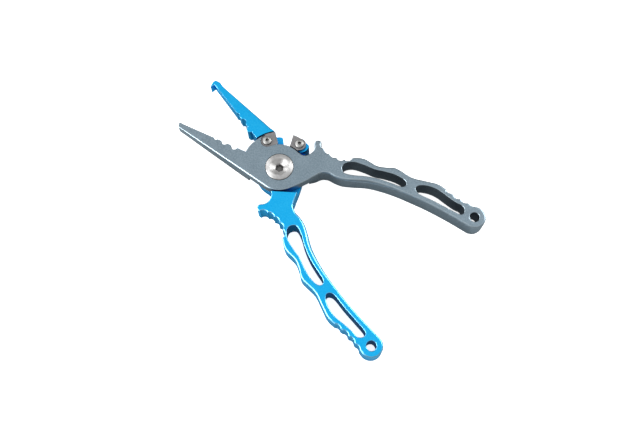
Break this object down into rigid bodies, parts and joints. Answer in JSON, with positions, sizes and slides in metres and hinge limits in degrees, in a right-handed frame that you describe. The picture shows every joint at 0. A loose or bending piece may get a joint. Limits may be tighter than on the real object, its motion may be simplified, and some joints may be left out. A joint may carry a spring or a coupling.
{
  "type": "fishing pliers",
  "caption": "Spring-opened aluminium fishing pliers: lapped two-colour halves on one pivot, slotted scalloped handles, notched jaws, hooked tip and a side line cutter.",
  "frame": {"origin": "pivot axis at the underside of the pivot barrel's foot", "axes": "+Z along the pivot, from the foot to the screw head; +X from the pivot towards the handles, midway between them; +Y towards the grey handle"},
  "size_m": [0.196, 0.1176, 0.0156],
  "materials": {
    "grey_anodised": "bead blasted and anodised slate grey",
    "blue_anodised": "bead blasted and anodised azure blue",
    "turned_steel": "finely turned and polished",
    "washer_steel": "plain",
    "slide_washer": "smooth low-friction polymer",
    "bush_bronze": "machined bronze",
    "spring_steel": "drawn wire",
    "blade_carbide": "fine ground carbide",
    "screw_steel": "satin stainless"
  },
  "bodies": {
    "grey": {"grey_half": "grey_anodised", "pivot_screw": "turned_steel", "pivot_barrel": "turned_steel", "head_washer": "washer_steel", "foot_washer": "washer_steel", "lap_washer": "slide_washer", "upper_bush": "bush_bronze", "opening_spring": "spring_steel", "stop_pin": "washer_steel", "upper_blade": "blade_carbide", "upper_blade_screw": "screw_steel"},
    "blue": {"blue_half": "blue_anodised", "lower_bush": "bush_bronze", "lug_blade": "blade_carbide", "lug_blade_screw": "screw_steel"}
  },
  "joints": [
    {"name": "jaw_pivot", "type": "hinge", "parent": "grey", "child": "blue", "pos_m": [0, 0, 0.00725], "axis": [0, 0, 1], "range_deg": [0, 27.2], "stiffness_Nm_per_rad": 0.4, "springref_deg": -20.05, "deforming": ["opening_spring"]}
  ]
}
